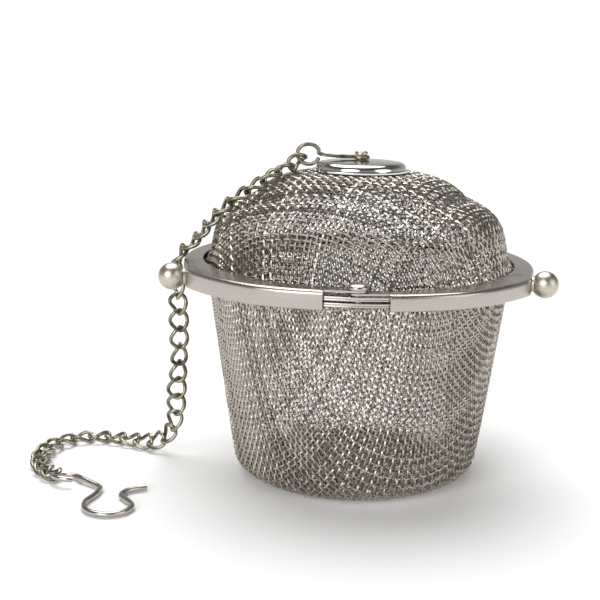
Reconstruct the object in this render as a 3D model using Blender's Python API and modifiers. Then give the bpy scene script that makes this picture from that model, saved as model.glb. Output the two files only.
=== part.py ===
"""Mesh tea infuser: a woven wire basket and a domed woven wire lid.

Each bowl has a flat hemmed rim.  Two C-section half rings (jaws) clasp both
rims.  The left jaw belongs to the lid and the right one to the basket, and
they turn on one upright rivet at the front, so squeezing the two ball knobs
shut closes the infuser.  A chain with a cup hook hangs from a swivel eye on
the lid's polished cap.

Metres, +Z up.  The basket stands on z = 0 and the front is -Y.
"""
from math import atan2, cos, pi, radians, sin

import bmesh
import bpy
from mathutils import Matrix, Vector

MM = 0.001
GAP = 0.15

# Clasp ring, in millimetres
RING_R = 37.8
SHEET = 0.4
SHOULDER_R = 0.9
PLATE_INNER_R = 33.7
LIP_INNER_R = 34.6
LIP_BOTTOM = 43.5
LID_PLATE_TOP = 47.4
BASKET_PLATE_TOP = LID_PLATE_TOP - SHEET - GAP
WINDOW_DEG = {1: 9.3, -1: 10.2}
BACK_GAP_DEG = 1.6
RING_STEPS = 54
# How far the skirt stands out past a true circle, by degrees round from the front:
# each jaw has a flat facet for its knob
BULGE = ((0, 0), (10, 0), (20, 0.5), (31, 1.15), (48, 1.3), (56, 1.6), (61.5, 1.9),
         (66.5, 1.07), (71, 0.46), (77, 0.05), (82, 0), (180, 0))

# Hemmed rims
RIM_INNER_R = 33.3
RIM_OUTER_R = 37.0
RIM_HEIGHT = 1.05
LID_RIM_TOP = BASKET_PLATE_TOP - SHEET - GAP
BASKET_RIM_TOP = LID_RIM_TOP - RIM_HEIGHT - GAP

# Pivot rivet at the front
PIVOT_R = 35.2
TAB_R = 1.9
PIVOT_SHANK_R = 0.9
PIVOT_HOLE_R = 1.1
PIVOT_HEAD_R = 2.1

# Woven bowls, as plain shells: outer radius and height down the outside
CLOTH = 0.6
BASKET_TOP_R = 32.9
BASKET_FOOT_R = 27.0
BASKET_CORNER_DROP = 4.2
BASKET_FLAT_R = 20.5
LID_FOOT_R = 33.1
LID_FOOT_Z = LID_RIM_TOP - RIM_HEIGHT + 0.1
LOWER_TIER = ((31.6, 51.2), (30.6, 55.0), (28.6, 57.8), (25.2, 60.0))
STEP_R = 22.6
STEP_Z = 61.0
UPPER_TIER = ((21.8, 62.2), (19.0, 64.0), (15.4, 65.4), (11.6, 66.0))
LID_TOP_Z = 66.1
BOWL_STEPS = 36

# Cap, rivet and swivel eye on top of the lid
CAP_BOTTOM = 66.3
CAP_FLANGE_R = 10.4
CAP_WALL_R = 9.8
CAP_TOP = 68.6
CAP_SHEET = 0.35
POST_R = 0.8
POST_HOLE_R = 1.05
POST_HEAD_R = 1.45
POST_HEAD_Z = 69.7
EYE_WIRE = 0.85
EYE_RING_R = 1.42
EYE_Z = 69.15
LOOP_CENTRE = (-11.2, 70.1)
LOOP_R = 2.15

# Ball knobs: the angle of each from the front, round the ring
KNOB_PLACE = (35.6, -15.6)
KNOB_DEG = 79.5
KNOB_R = 2.8
KNOB_NECK_R = 1.62
KNOB_NECK = 0.3
KNOB_Z = 45.4
KNOB_PIN_R = 0.55
KNOB_HOLE_R = 0.75

# Chain
LINK_WIRE = 0.72
LINK_HALF_LENGTH = 2.42
LINK_HALF_WIDTH = 1.9
LINK_TWIST = radians(42)
LINK_PITCH = 4.0
LINK_POINTS = 14
LINK_SIDES_LEVEL = 1
# Route of the chain's middle line, and the side its links' flats face
CHAIN_ROUTE = (
    ((-13.8, -0.6, 67.9), (-0.6, 0.63, 0.49)),
    ((-16.4, -3.4, 66.7), (-0.42, 0.15, 0.88)),
    ((-19.2, -6.2, 65.2), (-0.45, -0.15, 0.88)),
    ((-22.6, -8.0, 63.0), (-0.42, -0.2, 0.88)),
    ((-26.2, -8.8, 60.6), (-0.45, -0.18, 0.87)),
    ((-29.4, -8.6, 57.8), (-0.66, -0.25, 0.7)),
    ((-32.1, -6.8, 54.8), (-0.75, -0.3, 0.6)),
    ((-34.2, -5.2, 52.2), (-0.7, -0.3, 0.62)),
    ((-36.0, -4.2, 50.2), (-0.6, -0.25, 0.74)),
    ((-37.85, -3.64, 48.45), (-0.75, -0.06, 0.66)),
    ((-39.01, -3.64, 46.02), (-1.14, -0.39, 0.28)),
    ((-39.4, -2.6, 43.0), (-0.9, -0.4, 0.0)),
    ((-39.5, -1.5, 39.5), (-0.6, -0.8, 0.0)),
    ((-39.5, -0.4, 35.5), (-0.2, -0.98, 0.0)),
    ((-39.5, 0.4, 30.0), (0.3, -0.95, 0.0)),
    ((-39.65, 1.15, 23.13), (0.79, -0.63, 0.05)),
    ((-40.33, 1.56, 15.95), (0.24, -0.96, 0.02)),
    ((-40.66, 2.12, 10.87), (-0.35, -0.96, 0.01)),
    ((-41.7, 2.8, 6.6), (-0.59, -0.58, 0.28)),
    ((-43.9, 4.0, 3.7), (-0.5, -0.7, 0.5)),
    ((-47.5, 6.0, 2.1), (-0.3, -0.6, 0.75)),
    ((-52.0, 8.5, 1.6), (0.0, -0.3, 0.95)),
    ((-57.0, 10.4, 1.35), (0.0, 0.0, 1.0)),
    ((-62.0, 10.6, 1.35), (0.0, 0.0, 1.0)),
    ((-66.4, 8.4, 1.35), (0.0, 0.0, 1.0)),
    ((-69.2, 4.2, 1.35), (0.0, 0.0, 1.0)),
    ((-70.0, -1.6, 1.35), (0.0, 0.0, 1.0)),
    ((-68.8, -7.8, 1.35), (0.0, 0.0, 1.0)),
    ((-66.0, -13.0, 1.35), (0.0, 0.0, 1.0)),
    ((-62.4, -16.2, 1.6), (-0.3, -0.34, 0.9)),
)
CHAIN_SAMPLES = 24

# Hook on the chain's end
HOOK_WIRE = 1.15
HOOK_Z = 0.8
HOOK_EYE_LENGTH = 3.3
HOOK_EYE_WIDTH = 2.6
HOOK_EYE_LIFT = radians(13)
HOOK_ROUTE = (
    (-53.4, -19.8), (-52.9, -22.2), (-53.4, -25.0), (-54.3, -28.2),
    (-53.6, -31.8), (-51.2, -34.0), (-48.2, -34.6), (-45.4, -33.0),
    (-44.5, -29.8), (-46.2, -26.8), (-47.8, -24.4), (-47.3, -22.0),
    (-45.6, -20.6), (-43.4, -19.6),
)


def hex_colour(text):
    """Turn an sRGB hex colour into linear RGBA."""
    values = [int(text[i:i + 2], 16) / 255 for i in (0, 2, 4)]
    linear = [v / 12.92 if v <= 0.04045 else ((v + 0.055) / 1.055) ** 2.4 for v in values]
    return (*linear, 1.0)


def steel(name, colour, roughness):
    """A metal material with one colour and roughness."""
    material = bpy.data.materials.new(name)
    material.use_nodes = True
    shader = material.node_tree.nodes["Principled BSDF"]
    shader.inputs["Base Color"].default_value = hex_colour(colour)
    shader.inputs["Metallic"].default_value = 1.0
    shader.inputs["Roughness"].default_value = roughness
    return material


def clear_scene():
    for item in list(bpy.data.objects):
        bpy.data.objects.remove(item, do_unlink=True)


def new_collection(name):
    collection = bpy.data.collections.new(name)
    bpy.context.scene.collection.children.link(collection)
    return collection


def place(item, material=None, parent=None, cutter=False):
    """Put an object in its collection, with its material and parent."""
    (CUTTERS if cutter else PARTS).objects.link(item)
    if cutter:
        item.hide_render = True
        item.display_type = "WIRE"
    if material:
        item.data.materials.append(material)
    if parent:
        item.parent = parent
        item.matrix_parent_inverse = parent.matrix_world.inverted()
    return item


def joint_empty(name, location, parent=None):
    """An empty on a joint's axis, which its moving pieces hang from."""
    empty = bpy.data.objects.new(name, None)
    empty.location = Vector(location) * MM
    empty.empty_display_size = 0.01
    PARTS.objects.link(empty)
    if parent:
        empty.parent = parent
        empty.location = (Vector(location) - parent.matrix_world.translation / MM) * MM
    bpy.context.view_layer.update()
    return empty


def turned(name, profile, material=None, parent=None, closed=False, steps=BOWL_STEPS,
           angle=2 * pi, start=0.0, sheet=0.0, cutter=False):
    """Turn a profile of (radius, height) points about Z with a Screw modifier."""
    mesh = bpy.data.meshes.new(name)
    points = [(r * MM, 0, z * MM) for r, z in profile]
    edges = [(i, i + 1) for i in range(len(points) - 1)]
    if closed:
        edges.append((len(points) - 1, 0))
    mesh.from_pydata(points, edges, [])
    item = place(bpy.data.objects.new(name, mesh), material, parent, cutter)
    item.rotation_euler.z = start
    screw = item.modifiers.new("Turn", "SCREW")
    screw.angle = angle
    screw.steps = steps
    screw.render_steps = steps
    screw.use_merge_vertices = True
    screw.merge_threshold = 0.00001
    screw.use_smooth_shade = True
    if sheet:
        wall = item.modifiers.new("Sheet", "SOLIDIFY")
        wall.thickness = sheet * MM
        wall.offset = -1
        wall.use_even_offset = True
    return item


def rod(name, radius, bottom, top, centre=(0, 0), cutter=False, steps=20, material=None, parent=None):
    """An upright round bar."""
    mesh = bpy.data.meshes.new(name)
    shape = bmesh.new()
    bmesh.ops.create_cone(shape, cap_ends=True, segments=steps, radius1=radius * MM,
                          radius2=radius * MM, depth=(top - bottom) * MM)
    shape.to_mesh(mesh)
    shape.free()
    item = place(bpy.data.objects.new(name, mesh), material, parent, cutter)
    item.location = (centre[0] * MM, centre[1] * MM, (top + bottom) / 2 * MM)
    return item


def boolean(item, other, operation):
    step = item.modifiers.new(operation.title(), "BOOLEAN")
    step.operation = operation
    step.object = other
    step.solver = "EXACT"


def wire(name, points, diameter, material, parent, cyclic=False, level=1):
    """A bent round wire along millimetre points."""
    curve = bpy.data.curves.new(name, "CURVE")
    curve.dimensions = "3D"
    curve.bevel_depth = diameter / 2 * MM
    curve.bevel_resolution = level
    curve.use_fill_caps = not cyclic
    spline = curve.splines.new("POLY")
    spline.points.add(len(points) - 1)
    for target, point in zip(spline.points, points):
        target.co = (point[0] * MM, point[1] * MM, point[2] * MM, 1)
    spline.use_cyclic_u = cyclic
    spline.use_smooth = True
    item = bpy.data.objects.new(name, curve)
    return place(item, material, parent)


def spline_points(points, samples):
    """Points along a smooth curve through the given ones (Catmull-Rom)."""
    knots = [Vector(p) for p in points]
    knots = [2 * knots[0] - knots[1]] + knots + [2 * knots[-1] - knots[-2]]
    result = []
    for i in range(1, len(knots) - 2):
        a, b, c, d = knots[i - 1:i + 3]
        for k in range(samples):
            t = k / samples
            result.append(0.5 * (2 * b + (c - a) * t + (2 * a - 5 * b + 4 * c - d) * t ** 2
                                 + (3 * b - a - 3 * c + d) * t ** 3))
    result.append(knots[-2])
    return result


def front_angle(degrees_round):
    """The angle about +Z of a place so many degrees round from the front."""
    return radians(-90 + degrees_round)


def channel_profile(plate_top):
    """A jaw's outer face: plate, rounded shoulder, skirt and bottom lip."""
    bend = [(RING_R - SHOULDER_R + SHOULDER_R * sin(a), plate_top - SHOULDER_R + SHOULDER_R * cos(a))
            for a in (0, pi / 6, pi / 3, pi / 2)]
    corner = 0.3
    return ([(PLATE_INNER_R, plate_top)] + bend
            + [(RING_R, LIP_BOTTOM + corner), (RING_R - corner, LIP_BOTTOM), (LIP_INNER_R, LIP_BOTTOM)])


def bulge(degrees_round):
    """How far the skirt stands out past its circle at this angle from the front."""
    place = abs(degrees_round)
    for (a, low), (b, high) in zip(BULGE, BULGE[1:]):
        if place <= b:
            return low + (high - low) * (place - a) / (b - a)
    return 0


def pressed_ring(name, profile, first, sweep, parent):
    """Carry the jaw's section round the ring, out over its bulge, as a sheet."""
    points = []
    for k in range(RING_STEPS + 1):
        degrees_round = first + sweep * k / RING_STEPS
        angle = front_angle(degrees_round)
        for r, z in profile:
            if r > PLATE_INNER_R:
                r += bulge(degrees_round)
            points.append((r * cos(angle) * MM, r * sin(angle) * MM, z * MM))
    n = len(profile)
    faces = [(j * n + k, j * n + k + 1, (j + 1) * n + k + 1, (j + 1) * n + k)
             for j in range(RING_STEPS) for k in range(n - 1)]
    mesh = bpy.data.meshes.new(name)
    mesh.from_pydata(points, [], faces)
    item = place(bpy.data.objects.new(name, mesh), MATERIALS["jaw"], parent)
    wall = item.modifiers.new("Sheet", "SOLIDIFY")
    wall.thickness = SHEET * MM
    wall.offset = -1
    wall.use_even_offset = True
    return item


def jaw(name, side, plate_top, parent):
    """One half ring: side -1 is the left jaw and +1 the right one."""
    window = WINDOW_DEG[side]
    start_deg = window if side > 0 else -(180 - BACK_GAP_DEG)
    item = pressed_ring(name, channel_profile(plate_top), start_deg, 180 - window - BACK_GAP_DEG, parent)
    flat = [(PLATE_INNER_R, plate_top), (RING_R - SHOULDER_R, plate_top),
            (RING_R - SHOULDER_R, plate_top - SHEET), (PLATE_INNER_R, plate_top - SHEET)]
    overlap = 1.0
    tab_start = 0 if side > 0 else -(window + overlap)
    tab = turned(name + "_tab", flat, closed=True, steps=5, cutter=True,
                 angle=radians(window + overlap), start=front_angle(tab_start))
    cap_tab_ends(tab)
    pad = rod(name + "_pad", TAB_R, plate_top - SHEET, plate_top, (0, -PIVOT_R), cutter=True, steps=24)
    boolean(tab, pad, "UNION")
    boolean(item, tab, "UNION")
    boolean(item, PIVOT_HOLE, "DIFFERENCE")
    boolean(item, knob_hole(name + "_knob_hole", side), "DIFFERENCE")
    return item


def cap_tab_ends(tab):
    """Close a swept flat bar's two ends so that it is one solid."""
    bpy.context.view_layer.update()
    mesh = bpy.data.meshes.new_from_object(tab.evaluated_get(bpy.context.evaluated_depsgraph_get()))
    shape = bmesh.new()
    shape.from_mesh(mesh)
    bmesh.ops.holes_fill(shape, edges=[e for e in shape.edges if e.is_boundary], sides=0)
    bmesh.ops.recalc_face_normals(shape, faces=shape.faces)
    shape.to_mesh(mesh)
    shape.free()
    tab.modifiers.clear()
    tab.data = mesh


def knob_frame(side):
    """A frame at the knob's place on the ring, its +Z pointing outwards."""
    angle = front_angle(side * KNOB_DEG)
    outward = Vector((cos(angle), sin(angle), 0))
    turn = outward.to_track_quat("Z", "Y").to_matrix().to_4x4()
    return Matrix.Translation(Vector((side * KNOB_PLACE[0], KNOB_PLACE[1], KNOB_Z)) * MM) @ turn


def knob_hole(name, side):
    hole = rod(name, KNOB_HOLE_R, -2.0, 2.4, cutter=True, steps=14)
    hole.matrix_world = knob_frame(side) @ Matrix.Translation((0, 0, 0.2 * MM))
    return hole


def knob(name, side, parent):
    """A ball knob with a short neck, bored for its pin."""
    base = GAP
    centre = base + KNOB_NECK + 0.8 * KNOB_R
    flat = -0.8 * KNOB_R
    first = atan2(KNOB_NECK_R, flat)
    arc = [first * k / 10 for k in range(11)]
    profile = [(KNOB_R * sin(a), centre + KNOB_R * cos(a)) for a in arc]
    profile[-1] = (KNOB_NECK_R, base + KNOB_NECK)
    profile += [(KNOB_NECK_R, base), (0, base)]
    item = turned(name, profile, MATERIALS["knob"], parent, steps=20)
    boolean(item, knob_hole(name + "_bore", side), "DIFFERENCE")
    pin = rod(name + "_pin", KNOB_PIN_R, -SHEET - 0.1, 2.2, steps=12,
              material=MATERIALS["rivet"], parent=parent)
    bpy.context.view_layer.update()
    item.matrix_world = knob_frame(side)
    pin.matrix_world = knob_frame(side) @ Matrix.Translation((0, 0, 0.85 * MM))


def ring_rim(name, top, parent):
    """A bowl's folded flat hem, with a round outer edge and the rivet's hole."""
    soft = 0.35
    bottom = top - RIM_HEIGHT
    profile = [(RIM_INNER_R, top), (RIM_OUTER_R - soft, top), (RIM_OUTER_R, top - soft),
               (RIM_OUTER_R, bottom + soft), (RIM_OUTER_R - soft, bottom), (RIM_INNER_R, bottom)]
    item = turned(name, profile, MATERIALS["rim"], parent, closed=True, steps=48)
    boolean(item, PIVOT_HOLE, "DIFFERENCE")


def basket_cloth():
    """The basket's wall, rounded corner and flat bottom."""
    corner = [(BASKET_FLAT_R + (BASKET_FOOT_R - BASKET_FLAT_R) * cos(a),
               BASKET_CORNER_DROP * (1 - sin(a))) for a in (0, pi / 8, pi / 4, 3 * pi / 8, pi / 2)]
    profile = [(BASKET_TOP_R, BASKET_RIM_TOP - 0.1)] + corner + [(0, 0)]
    turned("basket_mesh", profile, MATERIALS["cloth"], sheet=CLOTH)


def lid_cloth(parent):
    """The lid's two-tier dome, with the post's hole at its top."""
    rise = [(POST_HOLE_R, LID_TOP_Z)]
    rise += list(reversed(UPPER_TIER)) + [(STEP_R, STEP_Z)]
    rise += list(reversed(LOWER_TIER)) + [(32.2, 48.9), (LID_FOOT_R, LID_FOOT_Z)]
    turned("lid_mesh", rise, MATERIALS["cloth"], parent, sheet=CLOTH)


def cap_and_post(parent):
    """The polished cap, its inner washer and the post that holds the eye."""
    outside = [(POST_HOLE_R, CAP_TOP), (5.0, CAP_TOP - 0.1), (8.0, CAP_TOP - 0.35),
               (9.2, CAP_TOP - 0.75), (CAP_WALL_R, CAP_TOP - 1.4), (CAP_WALL_R, CAP_BOTTOM + 0.5),
               (CAP_FLANGE_R, CAP_BOTTOM + CAP_SHEET)]
    turned("top_cap", outside, MATERIALS["cap"], parent, sheet=CAP_SHEET)
    inside_top = LID_TOP_Z - CLOTH - GAP
    washer = [(POST_HOLE_R, inside_top), (5.5, inside_top), (5.5, inside_top - 0.4),
              (POST_HOLE_R, inside_top - 0.4)]
    turned("cap_washer", washer, MATERIALS["rivet"], parent, closed=True, steps=24)
    head = [(0, POST_HEAD_Z + 0.75), (1.0, POST_HEAD_Z + 0.7), (POST_HEAD_R, POST_HEAD_Z + 0.4),
            (POST_HEAD_R, POST_HEAD_Z), (POST_R, POST_HEAD_Z)]
    upset = inside_top - 0.4 - GAP
    tail = [(POST_R, upset), (1.5, upset - 0.1), (1.2, upset - 0.6), (0, upset - 0.7)]
    turned("cap_post", head + tail, MATERIALS["rivet"], parent, steps=20)


def swivel_eye(parent):
    """One bent wire: a ring round the post, an arm, and the chain's loop."""
    points = []
    for k in range(11):
        angle = radians(-150 + 25 * k)
        points.append((EYE_RING_R * cos(angle), EYE_RING_R * sin(angle), EYE_Z))
    points += [(-2.6, 1.1, EYE_Z + 0.05), (-5.6, 0.6, EYE_Z + 0.45)]
    for k in range(13):
        angle = radians(2 + 26 * k)
        points.append((LOOP_CENTRE[0] + LOOP_R * cos(angle), 0.25 - 0.1 * k,
                       LOOP_CENTRE[1] + LOOP_R * sin(angle)))
    wire("swivel_eye", points, EYE_WIRE, MATERIALS["wire"], parent, level=2)


def pivot_rivet():
    """The upright rivet that both jaws and both rims turn on."""
    head = LID_PLATE_TOP + GAP
    foot = BASKET_RIM_TOP - RIM_HEIGHT - GAP
    profile = [(0, head + 0.75), (1.1, head + 0.65), (1.8, head + 0.35), (PIVOT_HEAD_R, head),
               (PIVOT_SHANK_R, head), (PIVOT_SHANK_R, foot), (1.5, foot - 0.05),
               (1.2, foot - 0.45), (0, foot - 0.5)]
    item = turned("pivot_rivet", profile, MATERIALS["rivet"], steps=24)
    item.location.y = -PIVOT_R * MM


def link_points(centre, along, flat):
    """One curb link: an oval whose two ends are twisted against each other."""
    along = along.normalized()
    across = flat.cross(along).normalized()
    up = along.cross(across)
    points = []
    for k in range(LINK_POINTS):
        t = 2 * pi * (k + 0.5) / LINK_POINTS
        lengthwise = cos(t)
        turn = LINK_TWIST * lengthwise
        side = LINK_HALF_WIDTH * sin(t)
        points.append(centre + along * LINK_HALF_LENGTH * lengthwise
                      + across * side * cos(turn) + up * side * sin(turn))
    return points


def chain(parent):
    """The chain's links, one node each, an equal pitch apart on the route."""
    path = spline_points([p for p, _ in CHAIN_ROUTE], CHAIN_SAMPLES)
    flats = spline_points([f for _, f in CHAIN_ROUTE], CHAIN_SAMPLES)
    travelled = [0.0]
    for a, b in zip(path, path[1:]):
        travelled.append(travelled[-1] + (b - a).length)

    def at(distance, values):
        distance = min(max(distance, 0), travelled[-1] - 1e-6)
        i = next(k for k in range(len(travelled) - 1) if travelled[k + 1] > distance)
        share = (distance - travelled[i]) / (travelled[i + 1] - travelled[i])
        return values[i].lerp(values[i + 1], share)

    count = int(travelled[-1] / LINK_PITCH) + 1
    for k in range(count):
        place_along = k * LINK_PITCH
        half = LINK_PITCH / 2
        along = at(place_along + half, path) - at(place_along - half, path)
        points = link_points(at(place_along, path), along, at(place_along, flats))
        wire(f"chain_link_{k + 1:02d}", points, LINK_WIRE, MATERIALS["chain"], parent,
             cyclic=True, level=LINK_SIDES_LEVEL)
    return at((count - 1) * LINK_PITCH, path), along.normalized()


def hook(last_link, along, parent):
    """The cup hook: an eye through the last link, then an omega bend."""
    reach = LINK_HALF_LENGTH - (LINK_WIRE + HOOK_WIRE) / 2 - 0.3
    grip = last_link + along * reach
    out = Vector((HOOK_ROUTE[0][0] - grip.x, HOOK_ROUTE[0][1] - grip.y, 0)).normalized()
    side = Vector((out.y, -out.x, 0))
    tilt = side * cos(HOOK_EYE_LIFT) + Vector((0, 0, sin(HOOK_EYE_LIFT)))
    centre = grip + out * HOOK_EYE_LENGTH
    points = []
    for k in range(12):
        angle = radians(38 + 26 * k)
        points.append(centre + out * HOOK_EYE_LENGTH * cos(angle)
                      + tilt * HOOK_EYE_WIDTH * sin(angle))
    rest = [(x, y, HOOK_Z) for x, y in HOOK_ROUTE]
    smooth = spline_points(rest, 3)
    wire("hook", points + smooth, HOOK_WIRE, MATERIALS["hook"], parent, level=2)


clear_scene()
PARTS = new_collection("tea_infuser")
CUTTERS = new_collection("cutters")
MATERIALS = {
    "cloth": steel("woven steel cloth", "9C938C", 0.32),
    "rim": steel("folded steel hem", "B9B2AC", 0.25),
    "jaw": steel("satin steel", "CFC8BF", 0.30),
    "knob": steel("turned steel knob", "BDB6AA", 0.18),
    "cap": steel("polished steel cap", "D6D4D0", 0.08),
    "rivet": steel("steel rivet", "A9A49D", 0.28),
    "wire": steel("bent eye wire", "8D8A7C", 0.30),
    "chain": steel("nickel chain", "86826F", 0.34),
    "hook": steel("bright hook wire", "A9A6A0", 0.22),
}
PIVOT_HOLE = rod("pivot_hole", PIVOT_HOLE_R, 40, 50, (0, -PIVOT_R), cutter=True)

LID_PIVOT = joint_empty("lid_pivot", (0, -PIVOT_R, LID_PLATE_TOP))
EYE_PIVOT = joint_empty("eye_pivot", (0, 0, EYE_Z), LID_PIVOT)

basket_cloth()
ring_rim("basket_rim", BASKET_RIM_TOP, None)
jaw("basket_jaw", 1, BASKET_PLATE_TOP, None)
knob("basket_knob", 1, None)
pivot_rivet()

lid_cloth(LID_PIVOT)
ring_rim("lid_rim", LID_RIM_TOP, LID_PIVOT)
jaw("lid_jaw", -1, LID_PLATE_TOP, LID_PIVOT)
knob("lid_knob", -1, LID_PIVOT)
cap_and_post(LID_PIVOT)

swivel_eye(EYE_PIVOT)
LAST_LINK, LAST_ALONG = chain(EYE_PIVOT)
HOOK_PIVOT = joint_empty("hook_pivot", LAST_LINK + LAST_ALONG, EYE_PIVOT)
hook(LAST_LINK, LAST_ALONG, HOOK_PIVOT)
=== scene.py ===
"""The tea infuser's finished surfaces: woven wire, pressed steel, chain and hook."""
from math import acos, cos, degrees, pi, radians, sin

import bpy
import numpy as np
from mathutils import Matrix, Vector


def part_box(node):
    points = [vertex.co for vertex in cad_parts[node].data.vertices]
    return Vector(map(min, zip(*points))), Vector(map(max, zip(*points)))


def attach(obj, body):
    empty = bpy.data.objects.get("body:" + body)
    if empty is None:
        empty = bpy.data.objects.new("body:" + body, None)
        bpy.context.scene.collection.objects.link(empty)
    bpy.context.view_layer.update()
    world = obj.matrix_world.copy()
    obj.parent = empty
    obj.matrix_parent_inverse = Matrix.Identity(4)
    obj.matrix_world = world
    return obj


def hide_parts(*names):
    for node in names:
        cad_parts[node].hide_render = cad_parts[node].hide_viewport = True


bl_info = {
    "name": "Tea Infuser",
    "version": (1, 0, 0),
    "blender": (4, 5, 0),
    "location": "View3D > Sidebar > Tea Infuser",
    "description": "Builds the finished pieces of a woven wire tea infuser",
    "category": "Add Mesh",
}

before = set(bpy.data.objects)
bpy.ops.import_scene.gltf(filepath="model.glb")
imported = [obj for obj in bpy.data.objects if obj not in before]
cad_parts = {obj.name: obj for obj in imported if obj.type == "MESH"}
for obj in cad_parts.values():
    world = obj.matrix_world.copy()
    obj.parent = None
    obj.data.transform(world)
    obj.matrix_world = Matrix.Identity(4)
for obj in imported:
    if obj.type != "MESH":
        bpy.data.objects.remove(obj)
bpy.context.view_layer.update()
MM = 0.001


def top_of(node):
    """A CAD node's highest point, in millimetres."""
    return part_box(node)[1][2] / MM


def bottom_of(node):
    """A CAD node's lowest point, in millimetres."""
    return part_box(node)[0][2] / MM


# The ring, in millimetres and degrees; the front is at -Y and sides are +1 right, -1 left
RING_R = 37.8
PIVOT_R = 35.2
PLATE_INNER_R = 33.7
LIP_INNER_R = 34.6
PAD_R = 1.9
TAB_LAP_DEG = 1.0
# How far the skirt stands out past a true circle, by degrees round from the front
BULGE = ((0, 0), (10, 0), (20, 0.5), (31, 1.15), (48, 1.3), (56, 1.6), (61.5, 1.9),
         (66.5, 1.07), (71, 0.46), (77, 0.05), (82, 0), (180, 0))
WINDOW_DEG = {1: 9.3, -1: 10.2}
BACK_GAP_DEG = 1.6
KNOB_PLACE = (35.6, -15.6)
KNOB_DEG = 79.5
KNOB_Z = 45.4
LIP_BOTTOM = bottom_of("basket_jaw")
POST_HOLE_R = 1.05
AXIS_R = 0.001
PLATE_TOP = {"basket_jaw": top_of("basket_jaw"), "lid_jaw": top_of("lid_jaw")}
RIM_TOP = {"basket_rim": top_of("basket_rim"), "lid_rim": top_of("lid_rim")}
RIM_HEIGHT = RIM_TOP["basket_rim"] - bottom_of("basket_rim")

# The chain's middle line, and the side that its links' flats face, in millimetres
CHAIN_ROUTE = (
    ((-13.8, -0.6, 67.9), (-0.6, 0.63, 0.49)),
    ((-16.4, -3.4, 66.7), (-0.42, 0.15, 0.88)),
    ((-19.2, -6.2, 65.2), (-0.45, -0.15, 0.88)),
    ((-22.6, -8.0, 63.0), (-0.42, -0.2, 0.88)),
    ((-26.2, -8.8, 60.6), (-0.45, -0.18, 0.87)),
    ((-29.4, -8.6, 57.8), (-0.66, -0.25, 0.7)),
    ((-32.1, -6.8, 54.8), (-0.75, -0.3, 0.6)),
    ((-34.2, -5.2, 52.2), (-0.7, -0.3, 0.62)),
    ((-36.0, -4.2, 50.2), (-0.6, -0.25, 0.74)),
    ((-37.85, -3.64, 48.45), (-0.75, -0.06, 0.66)),
    ((-39.01, -3.64, 46.02), (-1.14, -0.39, 0.28)),
    ((-39.4, -2.6, 43.0), (-0.9, -0.4, 0.0)),
    ((-39.5, -1.5, 39.5), (-0.6, -0.8, 0.0)),
    ((-39.5, -0.4, 35.5), (-0.2, -0.98, 0.0)),
    ((-39.5, 0.4, 30.0), (0.3, -0.95, 0.0)),
    ((-39.65, 1.15, 23.13), (0.79, -0.63, 0.05)),
    ((-40.33, 1.56, 15.95), (0.24, -0.96, 0.02)),
    ((-40.66, 2.12, 10.87), (-0.35, -0.96, 0.01)),
    ((-41.7, 2.8, 6.6), (-0.59, -0.58, 0.28)),
    ((-43.9, 4.0, 3.7), (-0.5, -0.7, 0.5)),
    ((-47.5, 6.0, 2.1), (-0.3, -0.6, 0.75)),
    ((-52.0, 8.5, 1.6), (0.0, -0.3, 0.95)),
    ((-57.0, 10.4, 1.35), (0.0, 0.0, 1.0)),
    ((-62.0, 10.6, 1.35), (0.0, 0.0, 1.0)),
    ((-66.4, 8.4, 1.35), (0.0, 0.0, 1.0)),
    ((-69.2, 4.2, 1.35), (0.0, 0.0, 1.0)),
    ((-70.0, -1.6, 1.35), (0.0, 0.0, 1.0)),
    ((-68.8, -7.8, 1.35), (0.0, 0.0, 1.0)),
    ((-66.0, -13.0, 1.35), (0.0, 0.0, 1.0)),
    ((-62.4, -16.2, 1.6), (-0.3, -0.34, 0.9)),
)
LINK_HALF_LENGTH = 2.42
LINK_HALF_WIDTH = 1.9
LINK_TWIST = radians(42)
LINK_PITCH = 4.0
PLAIN_LINK_WIRE = 0.72

# The cup hook: an eye round the last link, then an omega lying on its side
HOOK_Z = 0.8
HOOK_EYE_PLAY = 0.3
HOOK_EYE_LENGTH = 3.3
HOOK_EYE_WIDTH = 2.6
HOOK_EYE_LIFT = radians(13)
HOOK_ROUTE = (
    (-53.4, -19.8), (-52.9, -22.2), (-53.4, -25.0), (-54.3, -28.2),
    (-53.6, -31.8), (-51.2, -34.0), (-48.2, -34.6), (-45.4, -33.0),
    (-44.5, -29.8), (-46.2, -26.8), (-47.8, -24.4), (-47.3, -22.0),
    (-45.6, -20.6), (-43.4, -19.6),
)

# The cloth: how much it draws out on its way down a bowl, and how unevenly its wires lie
STRETCH = 1.05
WANDER = 0.025

CAMERA_PLACE = (0, -0.250, 0.0909)
CAMERA_DOWN = 0.209
CAMERA_ROLL = 0.0235
CAMERA_LENS = 69.8
CAMERA_SHIFT = -0.0968
# Each sun's aim, its spread in degrees and its strength
SUNS = {
    "key_light": ((0.45, 0.8, -0.42), 44, 1.5),
    "fill_light": ((-0.9, 0.5, -0.45), 44, 0.6),
    "top_light": ((0.1, -0.35, -1.0), 56, 2.7),
}


# ---------------------------------------------------------------- properties

def linear(text):
    """Turn an sRGB hex colour into linear red, green and blue."""
    values = [int(text[i:i + 2], 16) / 255 for i in (0, 2, 4)]
    return [v / 12.92 if v <= 0.04045 else ((v + 0.055) / 1.055) ** 2.4 for v in values]


def colour_property(name, description, text):
    """A colour setting that starts from an sRGB hex colour."""
    return bpy.props.FloatVectorProperty(name=name, description=description, default=linear(text),
                                         size=3, min=0, max=1, subtype="COLOR")


def length_property(name, description, millimetres):
    """A length setting, kept in metres."""
    return bpy.props.FloatProperty(name=name, description=description, default=millimetres * MM,
                                   min=0, precision=5, unit="LENGTH")


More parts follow.
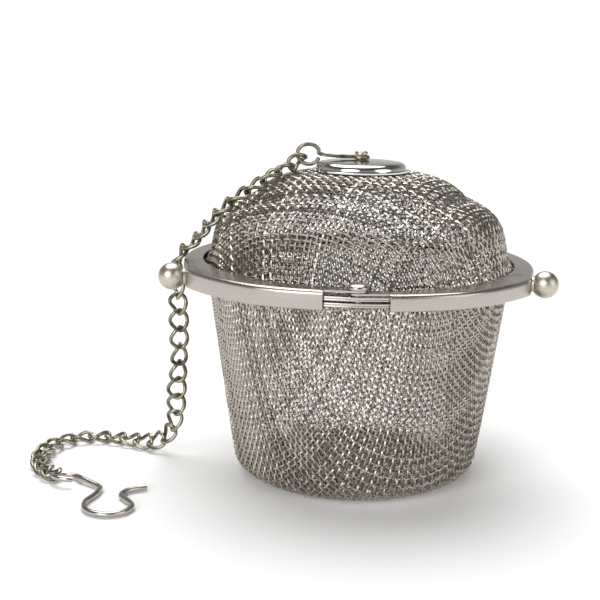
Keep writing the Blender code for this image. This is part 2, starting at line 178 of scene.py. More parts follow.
class InfuserSizes(bpy.types.PropertyGroup):
    cloth_pitch: length_property("Cloth pitch", "Distance between wires before drawing", 1.1)
    cloth_wire: length_property("Cloth wire", "Diameter of the woven wire", 0.42)
    link_wire: length_property("Link wire", "Diameter of the chain's wire", 0.86)
    eye_wire: length_property("Eye wire", "Diameter of the swivel eye's wire", 0.85)
    hook_wire: length_property("Hook wire", "Diameter of the cup hook's wire", 1.15)
    sheet: length_property("Sheet", "Thickness of the jaws' steel sheet", 0.4)
    shoulder: length_property("Shoulder", "Radius of the bend between plate and skirt", 0.9)
    knob: length_property("Knob", "Radius of the ball knobs", 2.8)
    edge: length_property("Edge", "Radius worn on sheared edges", 0.07)


class InfuserColours(bpy.types.PropertyGroup):
    cloth: colour_property("Cloth", "Bright drawn stainless wire", "BEB7AC")
    hem: colour_property("Hem", "Rolled stainless hem", "D2CBC4")
    jaw: colour_property("Jaw", "Satin pressed stainless sheet", "B9B2AA")
    knob: colour_property("Knob", "Turned and buffed stainless ball", "C6C0B1")
    cap: colour_property("Cap", "Mirror polished stainless cap", "E2E0DC")
    rivet: colour_property("Rivet", "Cold headed stainless rivet", "C4BEB4")
    chain: colour_property("Chain", "Dull nickel plate", "A29E8C")
    chain_shade: colour_property("Chain shade", "Oxide left in the chain's corners", "55523F")
    hook: colour_property("Hook", "Bright drawn hook wire", "BDB8B0")
    floor: colour_property("Floor", "Plain pale floor", "FAFAFA")


# ----------------------------------------------------------------- materials

def add_node(tree, kind, values=None, **inputs):
    """Add one node: values are its own, inputs are numbers or sockets to link."""
    node = tree.nodes.new(kind)
    for name, value in (values or {}).items():
        setattr(node, name, value)
    for name, value in inputs.items():
        key = int(name[1:]) if name[0] == "i" and name[1:].isdigit() else name.replace("_", " ")
        if isinstance(value, bpy.types.NodeSocket):
            tree.links.new(value, node.inputs[key])
        else:
            node.inputs[key].default_value = value
    return node


def shades(tree, driver, stops):
    """A colour ramp from (place, colour) stops."""
    ramp = add_node(tree, "ShaderNodeValToRGB", Fac=driver)
    elements = ramp.color_ramp.elements
    while len(elements) < len(stops):
        elements.new(0.5)
    for element, (place, colour) in zip(elements, stops):
        element.position = place
        element.color = (*colour, 1)
    return ramp.outputs["Color"]


def scaled(colour, factor):
    """The same colour, lighter or darker."""
    return [min(1.0, c * factor) for c in colour]


def metal(name, roughness):
    """A bare metal: its own Principled shader, fully metallic."""
    material = bpy.data.materials.new(name)
    material.use_nodes = True
    tree = material.node_tree
    shader = tree.nodes["Principled BSDF"]
    shader.inputs["Metallic"].default_value = 1.0
    shader.inputs["Roughness"].default_value = roughness
    return material, tree, shader


def object_place(tree):
    """The piece's own coordinates, in metres."""
    return add_node(tree, "ShaderNodeTexCoord").outputs["Object"]


def per_mm(cycles):
    """A noise scale of so many features a millimetre, on coordinates in metres."""
    return cycles / MM


def ring_place(tree):
    """Coordinates wrapped round the ring: radius, angle and height, for turned brush lines."""
    parts = add_node(tree, "ShaderNodeSeparateXYZ", Vector=object_place(tree)).outputs
    angle = add_node(tree, "ShaderNodeMath", {"operation": "ARCTAN2"}, i0=parts["Y"], i1=parts["X"])
    squares = [add_node(tree, "ShaderNodeMath", {"operation": "POWER"}, i0=parts[axis], i1=2.0)
               .outputs[0] for axis in ("X", "Y")]
    total = add_node(tree, "ShaderNodeMath", i0=squares[0], i1=squares[1])
    radius = add_node(tree, "ShaderNodeMath", {"operation": "SQRT"}, i0=total.outputs[0])
    metres_per_radian = 0.0006
    along = add_node(tree, "ShaderNodeMath", {"operation": "MULTIPLY"}, i0=angle.outputs[0],
                     i1=metres_per_radian)
    return add_node(tree, "ShaderNodeCombineXYZ", X=radius.outputs[0], Y=along.outputs[0],
                    Z=parts["Z"]).outputs[0]


def surface(tree, shader, place, colour, spread, grain_per_mm, roughness, bump, depth_mm):
    """Colour, roughness and bump that vary together over one noise pattern."""
    grain = add_node(tree, "ShaderNodeTexNoise", Vector=place, Scale=per_mm(grain_per_mm),
                     Detail=4.0, Roughness=0.6).outputs["Fac"]
    cloud = add_node(tree, "ShaderNodeTexNoise", Vector=object_place(tree), Scale=per_mm(0.12),
                     Detail=2.0).outputs["Fac"]
    mixed = add_node(tree, "ShaderNodeMath", {"operation": "MULTIPLY"}, i0=grain, i1=0.6)
    blend = add_node(tree, "ShaderNodeMath", {"operation": "MULTIPLY_ADD"}, i0=cloud, i1=0.4,
                     i2=mixed.outputs[0]).outputs[0]
    tree.links.new(shades(tree, blend, ((0.32, scaled(colour, 1 - spread)), (0.68, colour))),
                   shader.inputs["Base Color"])
    rough = add_node(tree, "ShaderNodeMapRange", Value=blend, From_Min=0.3, From_Max=0.7,
                     To_Min=roughness[0], To_Max=roughness[1])
    tree.links.new(rough.outputs["Result"], shader.inputs["Roughness"])
    relief = add_node(tree, "ShaderNodeBump", Height=grain, Strength=bump, Distance=depth_mm * MM)
    tree.links.new(relief.outputs["Normal"], shader.inputs["Normal"])


def drawn_cloth_wire(colour):
    """Drawn stainless wire: smooth and bright, a little duller where it was bent in weaving."""
    material, tree, shader = metal("drawn stainless cloth wire", 0.26)
    surface(tree, shader, object_place(tree), colour, 0.25, 0.9, (0.2, 0.36), 0.1, 0.01)
    return material


def rolled_hem(colour):
    """Rolled stainless hem: bright faces with fine lines along the roll."""
    material, tree, shader = metal("rolled stainless hem", 0.24)
    surface(tree, shader, ring_place(tree), colour, 0.12, 5.0, (0.16, 0.3), 0.25, 0.01)
    return material


def satin_sheet(colour):
    """Pressed stainless sheet with a satin face: soft wide highlights and fine brush lines."""
    material, tree, shader = metal("satin stainless sheet", 0.27)
    surface(tree, shader, ring_place(tree), colour, 0.08, 6.0, (0.2, 0.34), 0.35, 0.008)
    return material


def buffed_ball(colour):
    """Turned and buffed stainless: smooth, with a pearly blur from the buffing wheel."""
    material, tree, shader = metal("buffed stainless ball", 0.34)
    surface(tree, shader, object_place(tree), colour, 0.08, 1.4, (0.3, 0.4), 0.05, 0.01)
    return material


def mirror_cap(colour):
    """Mirror polished stainless: crisp reflections, a few faint hairlines."""
    material, tree, shader = metal("mirror polished stainless", 0.08)
    surface(tree, shader, ring_place(tree), colour, 0.05, 4.0, (0.05, 0.13), 0.06, 0.006)
    return material


def headed_rivet(colour):
    """Cold headed stainless: a worked, slightly dimpled bright surface."""
    material, tree, shader = metal("headed stainless rivet", 0.24)
    surface(tree, shader, object_place(tree), colour, 0.2, 1.6, (0.16, 0.34), 0.3, 0.02)
    return material


def nickel_plate(colour, shade):
    """Dull nickel plate on steel: olive grey, darker where oxide stays in the corners."""
    material, tree, shader = metal("dull nickel plate", 0.3)
    place = object_place(tree)
    tarnish = add_node(tree, "ShaderNodeTexNoise", Vector=place, Scale=per_mm(0.5),
                       Detail=3.0).outputs["Fac"]
    tree.links.new(shades(tree, tarnish, ((0.3, shade), (0.58, colour))), shader.inputs["Base Color"])
    rough = add_node(tree, "ShaderNodeMapRange", Value=tarnish, From_Min=0.3, From_Max=0.7,
                     To_Min=0.4, To_Max=0.2)
    tree.links.new(rough.outputs["Result"], shader.inputs["Roughness"])
    fine = add_node(tree, "ShaderNodeTexNoise", Vector=place, Scale=per_mm(3.0)).outputs["Fac"]
    relief = add_node(tree, "ShaderNodeBump", Height=fine, Strength=0.2, Distance=0.015 * MM)
    tree.links.new(relief.outputs["Normal"], shader.inputs["Normal"])
    return material


def drawn_hook_wire(colour):
    """Bright drawn wire: long soft highlights and faint die lines."""
    material, tree, shader = metal("bright drawn wire", 0.22)
    surface(tree, shader, object_place(tree), colour, 0.2, 1.1, (0.14, 0.3), 0.1, 0.01)
    return material


# ------------------------------------------------------------------ modelling

def nothing_selected():
    """Leave edit mode and clear the selection."""
    if bpy.context.object and bpy.context.object.mode != "OBJECT":
        bpy.ops.object.mode_set(mode="OBJECT")
    bpy.ops.object.select_all(action="DESELECT")


def select_only(piece):
    """Select one piece and make it the active one."""
    nothing_selected()
    piece.select_set(True)
    bpy.context.view_layer.objects.active = piece


def finish_piece(piece, name, material, body, nodes, angle=35):
    """Name a piece, smooth it, hand it to its body, and hide the CAD nodes it stands for."""
    piece.name = name
    piece.data.name = name
    piece.data.materials.clear()
    piece.data.materials.append(material)
    select_only(piece)
    bpy.ops.object.transform_apply(location=True, rotation=True, scale=True)
    bpy.ops.object.shade_smooth_by_angle(angle=radians(angle))
    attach(piece, body)
    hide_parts(*nodes)


def lathe(profile, steps=128, closed=True):
    """Turn (radius, height) points in millimetres about Z, extruding a circle from each to the next."""
    nothing_selected()
    radius, height = profile[0]
    bpy.ops.mesh.primitive_circle_add(vertices=steps, radius=radius * MM, fill_type="NOTHING",
                                      location=(0, 0, height * MM))
    piece = bpy.context.object
    bpy.ops.object.transform_apply(location=True, rotation=True, scale=True)
    bpy.ops.object.mode_set(mode="EDIT")
    bpy.ops.mesh.select_all(action="SELECT")
    path = list(profile[1:]) + ([profile[0]] if closed else [])
    for next_radius, next_height in path:
        bpy.ops.mesh.extrude_edges_move()
        ratio = next_radius / radius
        bpy.ops.transform.resize(value=(ratio, ratio, 1), center_override=(0, 0, 0))
        bpy.ops.transform.translate(value=(0, 0, (next_height - height) * MM))
        radius, height = next_radius, next_height
    bpy.ops.mesh.select_all(action="SELECT")
    bpy.ops.mesh.remove_doubles(threshold=0.002 * MM)
    bpy.ops.mesh.normals_make_consistent(inside=False)
    bpy.ops.object.mode_set(mode="OBJECT")
    return piece


def arc(centre, radius, first, last, count):
    """Profile points on an arc, angles in degrees from the +radius direction."""
    return [(centre[0] + radius * cos(radians(first + (last - first) * k / count)),
             centre[1] + radius * sin(radians(first + (last - first) * k / count)))
            for k in range(count + 1)]


def bulge(degrees_round):
    """How far the skirt stands out past its circle at this angle from the front."""
    places, heights = zip(*BULGE)
    return np.interp(np.abs(degrees_round), places, heights)


def push_out_skirt(piece):
    """Press a turned ring's skirt outwards into the jaw's bulge and its knob's flat."""
    mesh = piece.data
    points = np.empty(len(mesh.vertices) * 3)
    mesh.vertices.foreach_get("co", points)
    points = points.reshape(-1, 3)
    radius = np.hypot(points[:, 0], points[:, 1])
    out = bulge(np.degrees(np.arctan2(points[:, 0], -points[:, 1]))) * MM
    out = np.where(radius > (PLATE_INNER_R + 0.1) * MM, out, 0)
    points[:, :2] *= (1 + out / radius)[:, None]
    mesh.vertices.foreach_set("co", points.ravel())
    mesh.update()


def keep_wedge(piece, first_deg, last_deg):
    """Cut a turned piece to the wedge between two angles, less than half a turn, and cap its ends."""
    select_only(piece)
    bpy.ops.object.mode_set(mode="EDIT")
    for angle, side in ((radians(first_deg), 1), (radians(last_deg), -1)):
        bpy.ops.mesh.select_all(action="SELECT")
        bpy.ops.mesh.bisect(plane_co=(0, 0, 0), plane_no=(-sin(angle) * side, cos(angle) * side, 0),
                            use_fill=True, clear_inner=True)
    bpy.ops.mesh.select_all(action="SELECT")
    bpy.ops.mesh.normals_make_consistent(inside=False)
    bpy.ops.object.mode_set(mode="OBJECT")


def apply_modifier(piece, kind, **values):
    """Add a modifier with these values and apply it."""
    select_only(piece)
    modifier = piece.modifiers.new(kind.title(), kind)
    for name, value in values.items():
        setattr(modifier, name, value)
    bpy.ops.object.modifier_apply(modifier=modifier.name)


def union(piece, other):
    """Weld another piece into this one."""
    apply_modifier(piece, "BOOLEAN", operation="UNION", object=other, solver="EXACT")
    bpy.data.objects.remove(other, do_unlink=True)


def smooth_line(points, samples):
    """Points along a smooth curve through the given ones."""
    knots = [Vector(p) for p in points]
    knots = [2 * knots[0] - knots[1]] + knots + [2 * knots[-1] - knots[-2]]
    result = []
    for i in range(1, len(knots) - 2):
        a, b, c, d = knots[i - 1:i + 3]
        for k in range(samples):
            t = k / samples
            result.append(0.5 * (2 * b + (c - a) * t + (2 * a - 5 * b + 4 * c - d) * t ** 2
                                 + (3 * b - a - 3 * c + d) * t ** 3))
    result.append(knots[-2])
    return result


def bent_wires(name, lines, diameter, cyclic=False, level=4):
    """Round wires along millimetre points, as one mesh."""
    curve = bpy.data.curves.new(name, "CURVE")
    curve.dimensions = "3D"
    curve.bevel_depth = diameter / 2
    curve.bevel_resolution = level
    curve.use_fill_caps = not cyclic
    for line in lines:
        spline = curve.splines.new("POLY")
        spline.points.add(len(line) - 1)
        packed = np.ones((len(line), 4))
        packed[:, :3] = np.asarray(line, dtype=float) * MM
        spline.points.foreach_set("co", packed.ravel())
        spline.use_cyclic_u = cyclic
        spline.use_smooth = True
    piece = bpy.data.objects.new(name, curve)
    bpy.context.scene.collection.objects.link(piece)
    select_only(piece)
    bpy.ops.object.convert(target="MESH")
    if not cyclic:
        bpy.ops.object.mode_set(mode="EDIT")
        bpy.ops.mesh.select_all(action="SELECT")
        bpy.ops.mesh.remove_doubles(threshold=0.001 * MM)
        bpy.ops.object.mode_set(mode="OBJECT")
    return bpy.context.object


# ----------------------------------------------------------------- wire cloth

class Bowl:
    """A bowl's turned outline, measured along it from the pole outwards."""

    def __init__(self, corners):
        line = np.array([tuple(p) for p in smooth_line([(r, z, 0) for r, z in corners], 12)])[:, :2]
        self.length = np.concatenate([[0], np.cumsum(np.hypot(*np.diff(line, axis=0).T))])
        self.line = line
        slope = np.gradient(line, self.length, axis=0)
        self.slope = slope / np.hypot(slope[:, 0], slope[:, 1])[:, None]

    def place(self, s, theta):
        """Points, with unit vectors along the outline and round the bowl."""
        r = np.interp(s, self.length, self.line[:, 0])
        z = np.interp(s, self.length, self.line[:, 1])
        dr = np.interp(s, self.length, self.slope[:, 0])
        dz = np.interp(s, self.length, self.slope[:, 1])
        c, n = np.cos(theta), np.sin(theta)
        point = np.stack([r * c, r * n, z], -1)
        along = np.stack([dr * c, dr * n, dz], -1)
        round_ = np.stack([-n, c, np.zeros_like(c)], -1)
        return point, along, round_

    def net(self, pitch, turn):
        """Distance and angle of every crossing, for a flat square cloth drawn evenly down the bowl."""
        count = int(self.length[-1] / (pitch * STRETCH)) + 2
        numbers = np.arange(-count, count + 1)
        i, j = np.meshgrid(numbers, numbers, indexing="ij")
        shift = np.random.default_rng(7).normal(0, WANDER, (2, *i.shape))
        x, y = (i + shift[0]) * pitch, (j + shift[1]) * pitch
        return np.hypot(x, y) * STRETCH, np.arctan2(y, x) + turn


def wire_runs(bowl, s, theta, first, last, rise):
    """One family of wires: waves over and under the other, kept between two distances."""
    lines = []
    size = s.shape[0]
    stub = 0.3
    for row in range(size):
        centre, along, round_ = bowl.place(s[row], theta[row])
        normal = np.cross(round_, along)
        wave = rise * np.where((np.arange(size) + row) % 2 == 0, 1.0, -1.0)
        crossing = centre + normal * wave[:, None]
        between = 0.5 * (centre[1:] + centre[:-1])
        keep = (s[row] >= first) & (s[row] <= last)
        run = []
        for k in range(size):
            if keep[k]:
                if not run and k > 0:
                    run.append(centre[k] + (centre[k - 1] - centre[k]) * stub)
                run.append(crossing[k])
                if k + 1 < size and keep[k + 1]:
                    run.append(between[k])
            elif run:
                run.append(centre[k - 1] + (centre[k] - centre[k - 1]) * stub)
                lines.append(run)
                run = []
        if run:
            lines.append(run)
    return [line for line in lines if len(line) > 4]


def basket_outline():
    """The basket from the middle of its bottom to the lip held in the hem."""
    foot_r, drop, flat_r, low = 26.7, 4.1, 20.4, 0.36
    floor = [(0, low), (7, low), (14, low)]
    corner = [(flat_r + (foot_r - flat_r) * sin(a), low + drop * (1 - cos(a)))
              for a in (0, pi / 8, pi / 4, 3 * pi / 8, pi / 2)]
    wall = [(28.1, 13.5), (29.5, 23.5), (31.0, 34), (32.2, 42.6)]
    lip = [(32.8, 43.9), (33.6, RIM_TOP["basket_rim"] - 0.5)]
    return floor + corner + wall + lip


def lid_outline():
    """The lid from its middle, down over the step, to the lip held in the hem."""
    crown = [(0, 65.9), (6, 65.9), (11.4, 65.7), (15.3, 65.1), (18.9, 63.7), (21.6, 61.9)]
    step = [(22.6, 60.8), (25.0, 59.7), (28.4, 57.6)]
    wall = [(30.4, 54.9), (31.4, 51.2), (31.8, 48.9)]
    lip = [(32.6, 47.0), (33.5, RIM_TOP["lid_rim"] - 0.5)]
    return crown + step + wall + lip


# ---------------------------------------------------------------- small pieces

def channel(plate_top, sheet, bend):
    """A jaw's section: plate, round shoulder, skirt and turned-in lip, outside then inside."""
    corner, small = 0.35, 0.1
    outside = [(PLATE_INNER_R, plate_top)]
    outside += arc((RING_R - bend, plate_top - bend), bend, 90, 0, 8)
    outside += arc((RING_R - corner, LIP_BOTTOM + corner), corner, 0, -90, 4)
    outside += [(LIP_INNER_R, LIP_BOTTOM), (LIP_INNER_R, LIP_BOTTOM + sheet)]
    inside = arc((RING_R - sheet - small, LIP_BOTTOM + sheet + small), small, -90, 0, 2)
    inside += arc((RING_R - bend, plate_top - bend), bend - sheet, 0, 90, 6)
    return outside + inside + [(PLATE_INNER_R, plate_top - sheet)]


def link_line(centre, along, flat, count):
    """One curb link: an oval whose two ends are twisted against each other."""
    along = along.normalized()
    across = flat.cross(along).normalized()
    up = along.cross(across)
    points = []
    for k in range(count):
        t = 2 * pi * k / count
        turn = LINK_TWIST * cos(t)
        side = LINK_HALF_WIDTH * sin(t)
        points.append(centre + along * LINK_HALF_LENGTH * cos(t)
                      + across * side * cos(turn) + up * side * sin(turn))
    return points


class ChainPath:
    """The chain's middle line and facing, read at any distance along it."""

    def __init__(self):
        self.points = smooth_line([p for p, _ in CHAIN_ROUTE], 24)
        self.flats = smooth_line([f for _, f in CHAIN_ROUTE], 24)
        steps = [(b - a).length for a, b in zip(self.points, self.points[1:])]
        self.travelled = np.concatenate([[0], np.cumsum(steps)])
        self.count = int(self.travelled[-1] / LINK_PITCH) + 1

    def read(self, values, distance):
        """One of the path's lists of vectors, read between its points."""
        table = np.array([tuple(v) for v in values])
        return Vector([float(np.interp(distance, self.travelled, table[:, k])) for k in range(3)])

    def link(self, index):
        """A link's middle, direction and facing."""
        distance = index * LINK_PITCH
        half = LINK_PITCH / 2
        behind = self.read(self.points, max(distance - half, 0))
        along = self.read(self.points, distance + half) - behind
        return self.read(self.points, distance), along, self.read(self.flats, distance)


def press_cap():
    """The cap on the dome: a slightly crowned top, a rolled shoulder and a small flange."""
    bottom, top = bottom_of("top_cap"), top_of("top_cap")
    wall, flange, sheet = 9.8, 10.35, 0.3
    outside = [(POST_HOLE_R, top), (3.0, top - 0.03), (5.5, top - 0.12), (7.4, top - 0.28)]
    outside += arc((wall - 1.5, top - 1.88), 1.5, 78, 0, 8)
    outside += [(wall, bottom + 0.62), (wall + 0.12, bottom + 0.4), (flange, bottom + 0.34),
                (flange, bottom + 0.05), (wall - sheet, bottom + 0.05)]
    inside = [(wall - sheet, bottom + 1.0), (wall - 1.2, top - 1.0), (6.0, top - 0.6),
              (POST_HOLE_R, top - sheet)]
    return lathe(outside + inside, 128)


def turn_washer():
    """The washer under the cap, inside the dome."""
    low, high = bottom_of("cap_washer"), top_of("cap_washer")
    return lathe([(POST_HOLE_R, high), (5.4, high), (5.5, high - 0.1), (5.5, low + 0.1), (5.4, low),
                  (POST_HOLE_R, low)], 64)


def turn_post():
    """The headed post that holds the cap and the swivel eye."""
    peak, foot = top_of("cap_post"), bottom_of("cap_post")
    head = [(AXIS_R, peak)] + arc((0.95, peak - 0.5), 0.5, 90, -20, 7)
    shank = [(1.2, peak - 0.75), (0.8, peak - 0.75), (0.8, foot + 0.7)]
    tail = [(1.5, foot + 0.6), (1.35, foot + 0.25), (1.0, foot), (AXIS_R, foot)]
    return lathe(head + shank + tail, 48, closed=False)


def turn_rivet():
    """The rivet that the two jaws turn on, with its domed head."""
    plain_peak, foot = top_of("pivot_rivet"), bottom_of("pivot_rivet")
    brim = plain_peak - 0.75
    edge = brim + 0.2
    peak = plain_peak + 0.4
    head = [(AXIS_R, peak)]
    head += [(2.2 * sin(a), edge + (peak - edge) * cos(a)) for a in np.linspace(0.15, 1.5, 10)]
    shank = [(2.15, brim), (0.9, brim), (0.9, foot + 0.5)]
    tail = [(1.5, foot + 0.45), (1.2, foot + 0.05), (AXIS_R, foot)]
    piece = lathe(head + shank + tail, 48, closed=False)
    piece.location.y = -PIVOT_R * MM
    return piece


def swivel_line():
    """The swivel eye's wire: round the post, out over the cap's edge, then into its loop."""
    level, ring_r, loop_x, loop_z, wide, tall = 69.15, 1.42, -11.3, 69.6, 2.4, 2.1
    ring = [(ring_r * cos(radians(a)), ring_r * sin(radians(a)), level) for a in range(-150, 101, 25)]
    arm = [(-2.6, 1.1, level + 0.05), (-5.6, 0.6, level + 0.1)]
    loop = [(loop_x + wide * cos(radians(2 + 26 * k)), 0.25 - 0.1 * k,
             loop_z + tall * sin(radians(2 + 26 * k))) for k in range(14)]
    return smooth_line(ring + arm + loop, 5)


# -------------------------------------------------------------------- operators

def settings():
    """The scene's sizes and colours."""
    return bpy.context.scene.infuser_sizes, bpy.context.scene.infuser_colours


class StageOperator(bpy.types.Operator):
    """Set the camera, soft studio lights and a plain pale floor"""
    bl_idname = "infuser.stage"
    bl_label = "Stage"

    def execute(self, context):
        _, colours = settings()
        camera = bpy.data.objects.new("camera", bpy.data.cameras.new("camera"))
        context.scene.collection.objects.link(camera)
        camera.location = CAMERA_PLACE
        camera.rotation_euler = (pi / 2 - CAMERA_DOWN, 0, 0)
        camera.rotation_euler.rotate_axis("Z", CAMERA_ROLL)
        camera.data.lens = CAMERA_LENS
        camera.data.sensor_width = 36
        camera.data.shift_x = CAMERA_SHIFT
        camera.data.clip_start = 0.01
        camera.data.clip_end = 20
        context.scene.camera = camera

        bpy.ops.mesh.primitive_plane_add(size=12, location=(0, 0, 0))
        floor = context.object
        floor.name = "floor"
        paint = bpy.data.materials.new("matt white paint")
        paint.use_nodes = True
        shader = paint.node_tree.nodes["Principled BSDF"]
        shader.inputs["Base Color"].default_value = (*colours.floor, 1)
        shader.inputs["Roughness"].default_value = 0.9
        floor.data.materials.append(paint)

        for name, (aim, spread, power) in SUNS.items():
            lamp = bpy.data.objects.new(name, bpy.data.lights.new(name, "SUN"))
            context.scene.collection.objects.link(lamp)
            lamp.data.angle = radians(spread)
            lamp.data.energy = power
            lamp.rotation_euler = Vector(aim).to_track_quat("-Z", "Y").to_euler()

        world = context.scene.world or bpy.data.worlds.new("studio")
        context.scene.world = world
        world.use_nodes = True
        tree = world.node_tree
        back = tree.nodes["Background"]
        back.inputs["Color"].default_value = (1, 1, 1, 1)
        seen = add_node(tree, "ShaderNodeLightPath").outputs["Is Camera Ray"]
        way = add_node(tree, "ShaderNodeTexCoord").outputs["Generated"]
        height = add_node(tree, "ShaderNodeSeparateXYZ", Vector=way).outputs["Z"]
        dusk = add_node(tree, "ShaderNodeMapRange", Value=height, From_Min=0.0, From_Max=0.6,
                        To_Min=0.62, To_Max=0.1).outputs["Result"]
        level = add_node(tree, "ShaderNodeMapRange", Value=seen, To_Min=dusk, To_Max=1.0)
        tree.links.new(level.outputs["Result"], back.inputs["Strength"])
        context.scene.view_settings.view_transform = "Standard"
        return {"FINISHED"}


class ChainOperator(bpy.types.Operator):
    """Lay the curb chain along its route"""
    bl_idname = "infuser.chain"
    bl_label = "Chain"

    def execute(self, context):
        sizes, colours = settings()
        path = ChainPath()
        lines = [link_line(*path.link(k), 28) for k in range(path.count)]
        piece = bent_wires("chain", lines, sizes.link_wire, cyclic=True, level=3)
        names = [f"chain_link_{k + 1:02d}" for k in range(path.count)]
        material = nickel_plate(colours.chain, colours.chain_shade)
        finish_piece(piece, "chain", material, "eye", names, 60)
        return {"FINISHED"}


class HookOperator(bpy.types.Operator):
    """Bend the cup hook: an eye through the last link, then an omega"""
    bl_idname = "infuser.hook"
    bl_label = "Cup hook"

    def execute(self, context):
        sizes, colours = settings()
        path = ChainPath()
        last, along, _ = path.link(path.count - 1)
        along = along.normalized()
        both_wires = (PLAIN_LINK_WIRE + sizes.hook_wire / MM) / 2
        grip = last + along * (LINK_HALF_LENGTH - both_wires - HOOK_EYE_PLAY)
        out = Vector((HOOK_ROUTE[0][0] - grip.x, HOOK_ROUTE[0][1] - grip.y, 0)).normalized()
        side = Vector((out.y, -out.x, 0))
        tilt = side * cos(HOOK_EYE_LIFT) + Vector((0, 0, sin(HOOK_EYE_LIFT)))
        centre = grip + out * HOOK_EYE_LENGTH
        knots = [centre + out * HOOK_EYE_LENGTH * cos(radians(a))
                 + tilt * HOOK_EYE_WIDTH * sin(radians(a)) for a in range(38, 325, 26)]
        knots += [Vector((x, y, HOOK_Z)) for x, y in HOOK_ROUTE]
        piece = bent_wires("cup_hook", [smooth_line(knots, 6)], sizes.hook_wire)
        material = drawn_hook_wire(colours.hook)
        finish_piece(piece, "cup_hook", material, "hook", ["hook"], 60)
        return {"FINISHED"}


class ClothOperator(bpy.types.Operator):
    """Weave the basket's and the lid's wire cloth"""
    bl_idname = "infuser.cloth"
    bl_label = "Wire cloth"

    def execute(self, context):
        sizes, colours = settings()
        material = drawn_cloth_wire(colours.cloth)
        pitch = sizes.cloth_pitch / MM
        rise = sizes.cloth_wire / MM * 0.5
        for label, outline, turn, hole in (
                ("basket", basket_outline(), radians(-62), 0),
                ("lid", lid_outline(), radians(-114), POST_HOLE_R)):
            bowl = Bowl(outline)
            s, theta = bowl.net(pitch, turn)
            families = {"warp": (s, theta, rise), "weft": (s.T, theta.T, -rise)}
            for family, (grid_s, grid_theta, lift) in families.items():
                lines = wire_runs(bowl, grid_s, grid_theta, hole, bowl.length[-1], lift)
                name = f"{label}_{family}"
                piece = bent_wires(name, lines, sizes.cloth_wire, level=0)
                finish_piece(piece, name, material, label, [f"{label}_mesh"], 80)
        return {"FINISHED"}


class RimOperator(bpy.types.Operator):
    """Fold the flat hem round each bowl"""
    bl_idname = "infuser.rims"
    bl_label = "Hems"

    def execute(self, context):
        _, colours = settings()
        material = rolled_hem(colours.hem)
        inner, outer, soft, trim = 33.3, 37.0, 0.22, 0.06
        height = RIM_HEIGHT - 2 * trim
        half = height / 2
        for node, body in (("basket_rim", "basket"), ("lid_rim", "lid")):
            top = RIM_TOP[node] - trim
            middle = top - half
            upper = arc((outer - half / 2, middle + half / 2), half / 2, 90, -50, 7)
            lower = arc((outer - half / 2, middle - half / 2), half / 2, 50, -90, 7)
            profile = [(inner, top - soft), (inner + soft, top)] + upper + lower
            profile += [(inner + soft, top - height), (inner, top - height + soft)]
            piece = lathe(profile, 160)
            finish_piece(piece, f"{body}_hem", material, body, [node])
        return {"FINISHED"}


class JawOperator(bpy.types.Operator):
    """Press the two C-section half rings with their pivot tabs"""
    bl_idname = "infuser.jaws"
    bl_label = "Jaws"

    def execute(self, context):
        sizes, colours = settings()
        material = satin_sheet(colours.jaw)
        sheet, bend = sizes.sheet / MM, sizes.shoulder / MM
        for node, body, side in (("basket_jaw", "basket", 1), ("lid_jaw", "lid", -1)):
            top, window = PLATE_TOP[node], WINDOW_DEG[side]
            piece = lathe(channel(top, sheet, bend), 256)
            push_out_skirt(piece)
            keep_wedge(piece, *sorted((-90 + side * window, -90 + side * (180 - BACK_GAP_DEG))))
            tab = lathe([(PLATE_INNER_R, top), (RING_R - bend, top), (RING_R - bend, top - sheet),
                         (PLATE_INNER_R, top - sheet)], 256)
            keep_wedge(tab, *sorted((-90, -90 + side * (window + TAB_LAP_DEG))))
            nothing_selected()
            bpy.ops.mesh.primitive_cylinder_add(vertices=48, radius=PAD_R * MM, depth=sheet * MM,
                                                location=(0, -PIVOT_R * MM, (top - sheet / 2) * MM))
            union(tab, context.object)
            union(piece, tab)
            apply_modifier(piece, "BEVEL", width=sizes.edge, segments=2, limit_method="ANGLE",
                           angle_limit=radians(50), use_clamp_overlap=True)
            finish_piece(piece, f"{node}_pressing", material, body, [node], 40)
        return {"FINISHED"}


class KnobOperator(bpy.types.Operator):
    """Turn the two ball knobs and set them on the jaws"""
    bl_idname = "infuser.knobs"
    bl_label = "Knobs"

    def execute(self, context):
        sizes, colours = settings()
        material = buffed_ball(colours.knob)
        ball = sizes.knob / MM
        base, neck, neck_r, cut = 0.03, 0.42, 1.62, 0.8
        centre = base + neck + cut * ball
        last = 180 - degrees(acos(cut))
        profile = [(max(AXIS_R, ball * sin(radians(a))), centre + ball * cos(radians(a)))
                   for a in np.linspace(0, last, 26)]
        profile += [(neck_r, base + neck), (neck_r, base), (AXIS_R, base)]
        for node, body, side in (("basket_knob", "basket", 1), ("lid_knob", "lid", -1)):
            piece = lathe(profile, 64, closed=False)
            angle = radians(-90 + side * KNOB_DEG)
            piece.rotation_mode = "QUATERNION"
            piece.rotation_quaternion = Vector((cos(angle), sin(angle), 0)).to_track_quat("Z", "Y")
            piece.location = Vector((side * KNOB_PLACE[0], KNOB_PLACE[1], KNOB_Z)) * MM
            finish_piece(piece, f"{body}_ball_knob", material, body, [node])
        return {"FINISHED"}


class CapOperator(bpy.types.Operator):
    """Press the lid's polished cap, and turn its post, washer and the pivot rivet"""
    bl_idname = "infuser.cap"
    bl_label = "Cap and rivets"

    def execute(self, context):
        _, colours = settings()
        rivet = headed_rivet(colours.rivet)
        finish_piece(press_cap(), "polished_cap", mirror_cap(colours.cap), "lid", ["top_cap"], 30)
        finish_piece(turn_washer(), "inner_washer", rivet, "lid", ["cap_washer"])
        finish_piece(turn_post(), "eye_post", rivet, "lid", ["cap_post"])
        finish_piece(turn_rivet(), "hinge_rivet", rivet, "basket", ["pivot_rivet"])
        return {"FINISHED"}


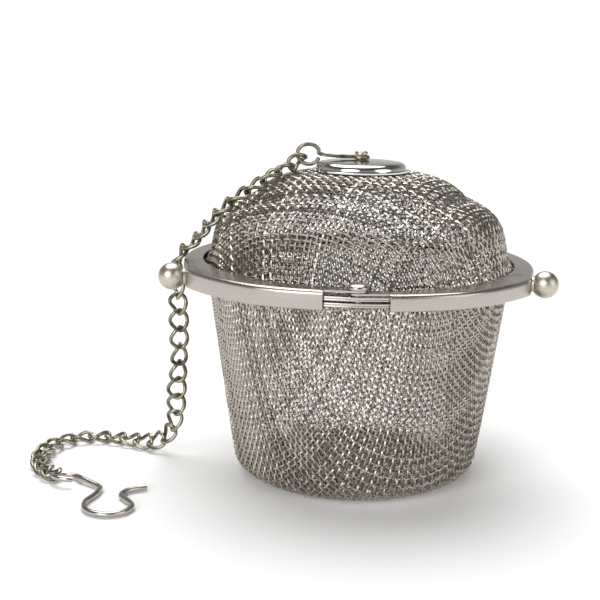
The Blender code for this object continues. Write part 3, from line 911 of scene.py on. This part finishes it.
class EyeOperator(bpy.types.Operator):
    """Bend the swivel eye's wire round its post"""
    bl_idname = "infuser.eye"
    bl_label = "Swivel eye"

    def execute(self, context):
        sizes, colours = settings()
        piece = bent_wires("swivel_wire", [swivel_line()], sizes.eye_wire)
        material = nickel_plate(colours.chain, colours.chain_shade)
        finish_piece(piece, "swivel_wire", material, "eye", ["swivel_eye"], 60)
        return {"FINISHED"}


class PinOperator(bpy.types.Operator):
    """Give the knobs' hidden pins their metal"""
    bl_idname = "infuser.pins"
    bl_label = "Knob pins"

    def execute(self, context):
        _, colours = settings()
        material = headed_rivet(colours.rivet)
        for node in ("basket_knob_pin", "lid_knob_pin"):
            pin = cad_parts[node]
            pin.data.materials.clear()
            pin.data.materials.append(material)
        return {"FINISHED"}


class InfuserPanel(bpy.types.Panel):
    """Lists the infuser's sizes, colours and build steps"""
    bl_idname = "VIEW3D_PT_infuser"
    bl_label = "Tea Infuser"
    bl_space_type = "VIEW_3D"
    bl_region_type = "UI"
    bl_category = "Tea Infuser"

    def draw(self, context):
        for group in settings():
            for name in group.__annotations__:
                self.layout.prop(group, name)
        for step in STEPS:
            self.layout.operator(step.bl_idname)


STEPS = (StageOperator, HookOperator, ChainOperator, ClothOperator, RimOperator, JawOperator,
         KnobOperator, CapOperator, EyeOperator, PinOperator)
CLASSES = (InfuserSizes, InfuserColours, *STEPS, InfuserPanel)


def register():
    """Add the infuser's settings, build steps and panel to Blender."""
    for cls in CLASSES:
        bpy.utils.register_class(cls)
    bpy.types.Scene.infuser_sizes = bpy.props.PointerProperty(type=InfuserSizes)
    bpy.types.Scene.infuser_colours = bpy.props.PointerProperty(type=InfuserColours)


def unregister():
    """Take them out again."""
    del bpy.types.Scene.infuser_colours
    del bpy.types.Scene.infuser_sizes
    for cls in reversed(CLASSES):
        bpy.utils.unregister_class(cls)


def main():
    """Run every build step in order."""
    register()
    for step in STEPS:
        group, name = step.bl_idname.split(".")
        getattr(getattr(bpy.ops, group), name)()


if __name__ == "__main__":
    main()
